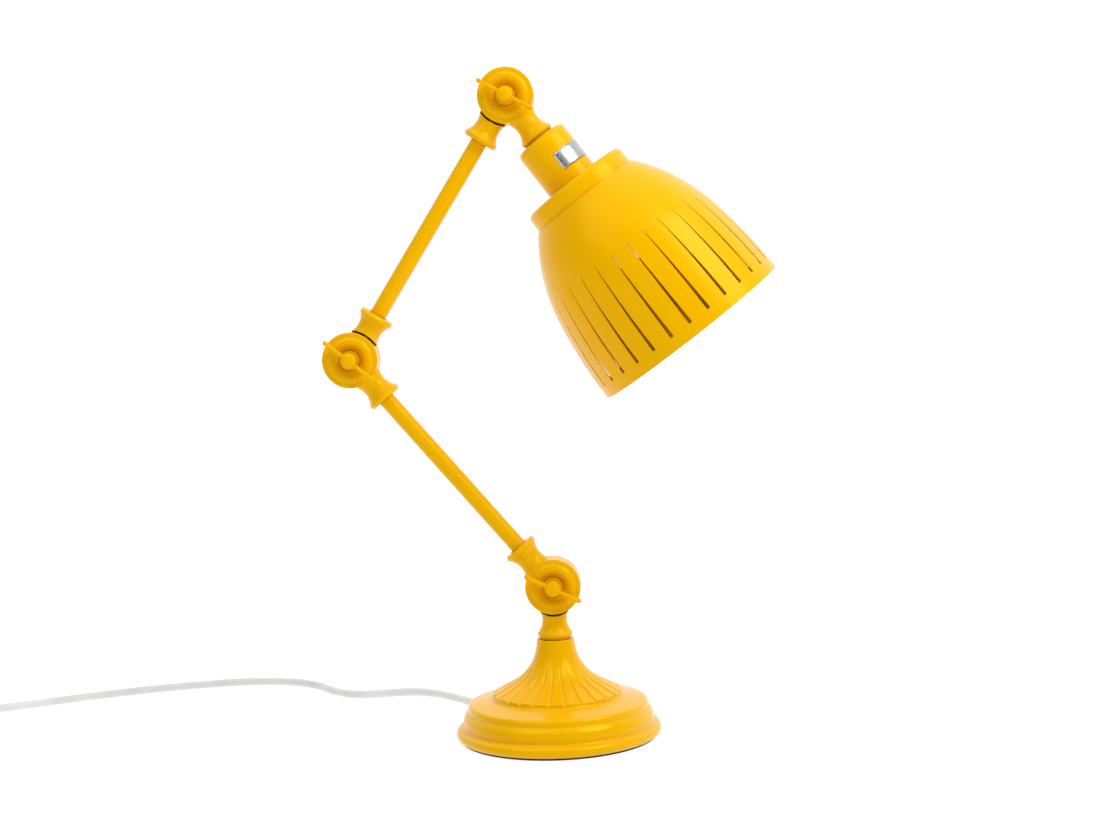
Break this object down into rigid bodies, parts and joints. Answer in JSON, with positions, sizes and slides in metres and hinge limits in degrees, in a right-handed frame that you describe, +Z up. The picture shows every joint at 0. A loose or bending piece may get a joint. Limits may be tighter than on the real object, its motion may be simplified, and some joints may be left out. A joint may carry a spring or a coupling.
{
  "type": "articulated desk lamp",
  "caption": "Desk lamp with a fluted round base, two swing arms on clamped disc knuckles with wing screws, and a slotted bell shade; cord with rocker switch and plug.",
  "frame": {"origin": "centre of the round base on the resting plane", "axes": "+Z up, +Y away from the side with the wing screws, +X to the right seen from that side; the arms fold in the XZ plane"},
  "size_m": [0.7875, 0.3051, 0.5118],
  "materials": {
    "yellow_paint": "satin yellow paint",
    "yellow_casting": "satin yellow paint on die casting",
    "yellow_tube": "satin yellow paint on steel tube",
    "yellow_sheet": "satin yellow paint on steel sheet",
    "yellow_washer": "satin yellow paint",
    "yellow_screw": "satin yellow paint on die casting",
    "cast_iron": "raw casting",
    "pad": "matte black foam sheet",
    "zinc_steel": "zinc-plated steel",
    "fibre": "dark hard fibre",
    "lead_sleeve": "white sleeving",
    "cord_pvc": "light grey flexible sheath",
    "cord_moulding": "light grey moulded plastic",
    "tie": "black tie strip",
    "nickel": "nickel plate",
    "brass": "bare brass",
    "lampholder_plastic": "black heat-proof plastic",
    "opal_glass": "opal glass"
  },
  "bodies": {
    "base": {"base_casting": "yellow_paint", "base_weight": "cast_iron", "base_pad": "pad", "base_nipple": "zinc_steel", "base_nut": "zinc_steel", "neck_ring": "yellow_paint", "base_knuckle": "yellow_casting", "low_friction_washer": "fibre", "base_lead": "lead_sleeve", "cord_gland": "cord_moulding", "cord_lamp_stretch": "cord_pvc", "switch_lower_shell": "cord_moulding", "switch_upper_shell": "cord_moulding", "switch_terminals": "brass", "cord_switch_stretch": "cord_pvc", "cord_coil": "cord_pvc", "cord_tail": "cord_pvc", "cord_tie": "tie", "plug_body": "cord_moulding", "plug_pins": "nickel"},
    "rocker": {"switch_rocker": "cord_moulding"},
    "lower_arm": {"lower_arm_bottom_knuckle": "yellow_casting", "lower_arm_tube": "yellow_tube", "lower_arm_top_knuckle": "yellow_casting", "low_washer": "yellow_washer", "mid_washer": "yellow_washer", "lower_arm_lead": "lead_sleeve"},
    "upper_arm": {"upper_arm_bottom_knuckle": "yellow_casting", "upper_arm_tube": "yellow_tube", "upper_arm_top_knuckle": "yellow_casting", "mid_friction_washer": "fibre", "top_friction_washer": "fibre", "upper_arm_lead": "lead_sleeve"},
    "head": {"head_knuckle": "yellow_casting", "top_washer": "yellow_washer", "head_ring": "yellow_paint", "head_nipple": "zinc_steel", "head_nut": "zinc_steel", "socket_cup": "yellow_sheet", "lampholder": "lampholder_plastic", "lampholder_shell": "brass", "shade": "yellow_sheet", "shade_ring": "lampholder_plastic", "bulb_cap": "nickel", "bulb_glass": "opal_glass", "head_lead": "lead_sleeve"},
    "low_wing": {"low_wing_screw": "yellow_screw"},
    "mid_wing": {"mid_wing_screw": "yellow_screw"},
    "top_wing": {"top_wing_screw": "yellow_screw"}
  },
  "joints": [
    {"name": "lower_arm_hinge", "type": "hinge", "parent": "base", "child": "lower_arm", "pos_m": [0, 0, 0.1175], "axis": [0, 1, 0], "range_deg": [-45, 75]},
    {"name": "upper_arm_hinge", "type": "hinge", "parent": "lower_arm", "child": "upper_arm", "pos_m": [-0.147, 0, 0.29647], "axis": [0, 1, 0], "range_deg": [-120, 30]},
    {"name": "head_hinge", "type": "hinge", "parent": "upper_arm", "child": "head", "pos_m": [-0.0207, 0, 0.49059], "axis": [0, 1, 0], "range_deg": [-140, 7]},
    {"name": "low_wing_turn", "type": "hinge", "parent": "base", "child": "low_wing", "pos_m": [0, 0, 0.1175], "axis": [0, -1, 0], "range_deg": [0, 360]},
    {"name": "mid_wing_turn", "type": "hinge", "parent": "upper_arm", "child": "mid_wing", "pos_m": [-0.147, 0, 0.29647], "axis": [0, -1, 0], "range_deg": [0, 360]},
    {"name": "top_wing_turn", "type": "hinge", "parent": "upper_arm", "child": "top_wing", "pos_m": [-0.0207, 0, 0.49059], "axis": [0, -1, 0], "range_deg": [0, 360]},
    {"name": "switch_rock", "type": "hinge", "parent": "base", "child": "rocker", "pos_m": [-0.51, 0.064, 0.0105], "axis": [1, 0, 0], "range_deg": [0, 14]}
  ]
}
